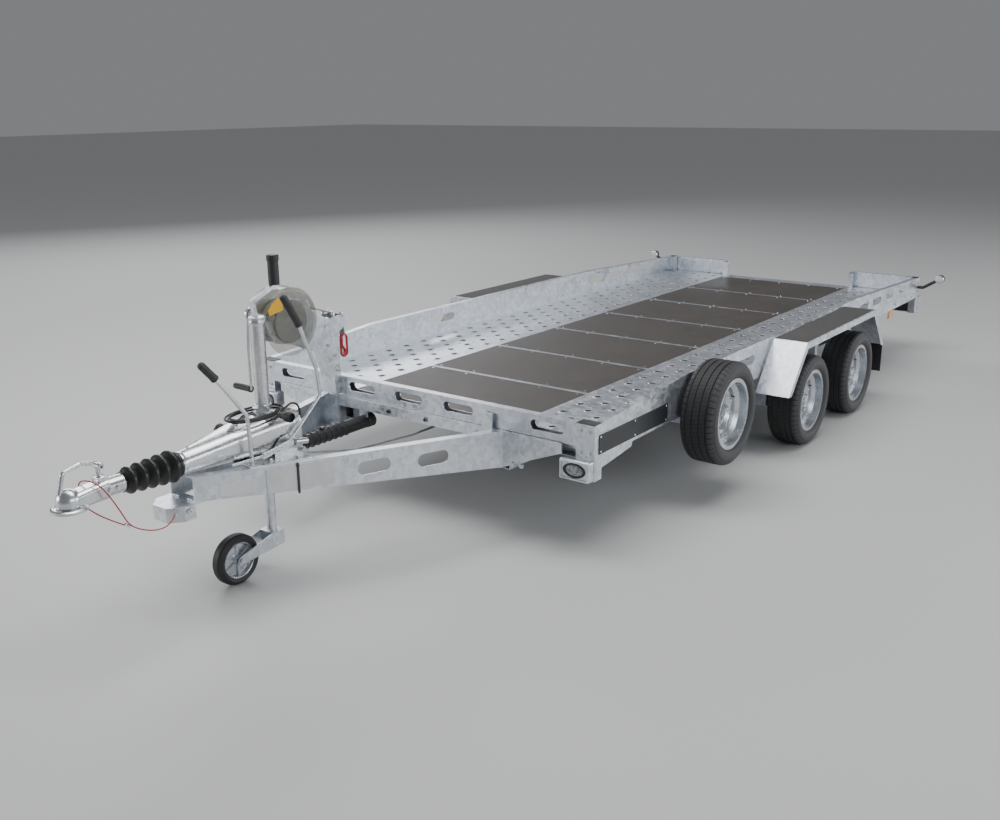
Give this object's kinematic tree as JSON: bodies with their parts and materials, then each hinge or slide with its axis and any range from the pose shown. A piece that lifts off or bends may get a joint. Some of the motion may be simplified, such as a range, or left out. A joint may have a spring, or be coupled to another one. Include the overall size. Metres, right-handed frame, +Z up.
{
  "type": "tilt-bed car transporter trailer",
  "caption": "Galvanised twin-axle car transporter with a tilting bed, V drawbar, overrun coupling, jockey wheel, winch and side-mounted spare wheel.",
  "frame": {"origin": "on the floor, halfway between the coupling's nose and the rear lamps, midway between the wheels", "axes": "+X forward to the coupling, +Y to the trailer's left, +Z up"},
  "size_m": [6.707, 2.55, 1.352],
  "materials": {
    "galvanised": "dull bright galvanised, faint spangle",
    "zinc": "bright zinc plate",
    "deck_board": "dark film-faced plywood, satin",
    "tyre": "matt black rubber",
    "rubber": "satin black rubber",
    "black_plastic": "black grained plastic",
    "blank_panel": "plain dark blue-black, satin",
    "lamp": "red and clear lenses in a black case",
    "marker_lamp": "grey-white lens in a galvanised guard",
    "cover": "smoky moulded cover",
    "brake_iron": "dull cast iron",
    "red_plastic": "red"
  },
  "bodies": {
    "chassis": {"axle_beams": "galvanised", "bellows": "rubber", "breakaway_cable": "red_plastic", "chassis_cross_tubes": "galvanised", "chassis_rails": "galvanised", "coupling_handle": "zinc", "coupling_head": "zinc", "drawbar": "galvanised", "front_crossmember": "galvanised", "jockey_clamp_lever": "zinc", "jockey_crank": "zinc", "jockey_leg": "zinc", "jockey_tube": "zinc", "light_cable": "rubber", "light_cable_coil": "rubber", "light_plug": "black_plastic", "mudflaps": "rubber", "mudguards": "galvanised", "overrun_housing": "galvanised", "parking_brake_lever": "zinc", "spare_rim": "galvanised", "spare_tyre": "tyre", "tilt_pump": "black_plastic"},
    "bed": {"bed_side_rails": "galvanised", "bed_front_rail": "galvanised", "bed_corner_posts": "galvanised", "bed_bearers": "galvanised", "deck_panels": "deck_board", "track_plates": "galvanised", "bed_long_beams": "galvanised", "bed_rear_sill": "galvanised", "front_marker_lamps": "marker_lamp", "side_panels": "blank_panel", "rear_lamp_units": "lamp", "rear_marker_stalks": "rubber", "winch_post": "galvanised", "winch_frame": "galvanised", "winch_drum": "zinc", "winch_cover": "cover", "winch_crank": "zinc", "winch_hook": "red_plastic"},
    "left_flap": {"rear_flap_left": "galvanised"},
    "right_flap": {"rear_flap_right": "galvanised"},
    "jockey_swivel": {"jockey_fork": "zinc"},
    "jockey_wheel": {"jockey_tyre": "rubber", "jockey_rim": "galvanised"},
    "ram_cylinder": {"ram_barrel": "black_plastic"},
    "ram_piston": {"ram_rod": "zinc"},
    "front_left_wheel": {"tyre_front_left": "tyre", "rim_front_left": "galvanised", "hub_drum_front_left": "brake_iron"},
    "front_right_wheel": {"tyre_front_right": "tyre", "rim_front_right": "galvanised", "hub_drum_front_right": "brake_iron"},
    "rear_left_wheel": {"tyre_rear_left": "tyre", "rim_rear_left": "galvanised", "hub_drum_rear_left": "brake_iron"},
    "rear_right_wheel": {"tyre_rear_right": "tyre", "rim_rear_right": "galvanised", "hub_drum_rear_right": "brake_iron"}
  },
  "joints": [
    {"name": "bed_tilt", "type": "hinge", "parent": "chassis", "child": "bed", "pos_m": [-1.8765, 0, 0.363], "axis": [0, -1, 0], "range_deg": [0, 12]},
    {"name": "ram_swing", "type": "hinge", "parent": "chassis", "child": "ram_cylinder", "pos_m": [0.1735, 0, 0.33], "axis": [0, 1, 0], "range_deg": [0, 8.66]},
    {"name": "ram_slide", "type": "slide", "parent": "ram_cylinder", "child": "ram_piston", "axis": [-0.9988, 0, 0.0499], "range_m": [0, 0.0437]},
    {"name": "left_flap_fold", "type": "hinge", "parent": "bed", "child": "left_flap", "pos_m": [-3.2835, 0.7995, 0.476], "axis": [0, -1, 0], "range_deg": [0, 90]},
    {"name": "right_flap_fold", "type": "hinge", "parent": "bed", "child": "right_flap", "pos_m": [-3.2835, -0.7995, 0.476], "axis": [0, -1, 0], "range_deg": [0, 90]},
    {"name": "front_left_wheel_spin", "type": "hinge", "parent": "chassis", "child": "front_left_wheel", "pos_m": [-0.6115, 1.175, 0.2625], "axis": [0, 1, 0], "continuous": true},
    {"name": "front_right_wheel_spin", "type": "hinge", "parent": "chassis", "child": "front_right_wheel", "pos_m": [-0.6115, -1.175, 0.2625], "axis": [0, 1, 0], "continuous": true},
    {"name": "rear_left_wheel_spin", "type": "hinge", "parent": "chassis", "child": "rear_left_wheel", "pos_m": [-1.3915, 1.175, 0.2625], "axis": [0, 1, 0], "continuous": true},
    {"name": "rear_right_wheel_spin", "type": "hinge", "parent": "chassis", "child": "rear_right_wheel", "pos_m": [-1.3915, -1.175, 0.2625], "axis": [0, 1, 0], "continuous": true},
    {"name": "jockey_turn", "type": "hinge", "parent": "chassis", "child": "jockey_swivel", "pos_m": [2.3785, 0, 0.166], "axis": [0, 0, 1], "continuous": true},
    {"name": "jockey_spin", "type": "hinge", "parent": "jockey_swivel", "child": "jockey_wheel", "pos_m": [2.5835, 0, 0.11], "axis": [0, 1, 0], "continuous": true}
  ],
  "couplings": [
    {"joint": "ram_swing", "follows": "bed_tilt", "ratio": 0.6713},
    {"joint": "ram_slide", "follows": "bed_tilt", "m_per_rad": 0.1945}
  ]
}
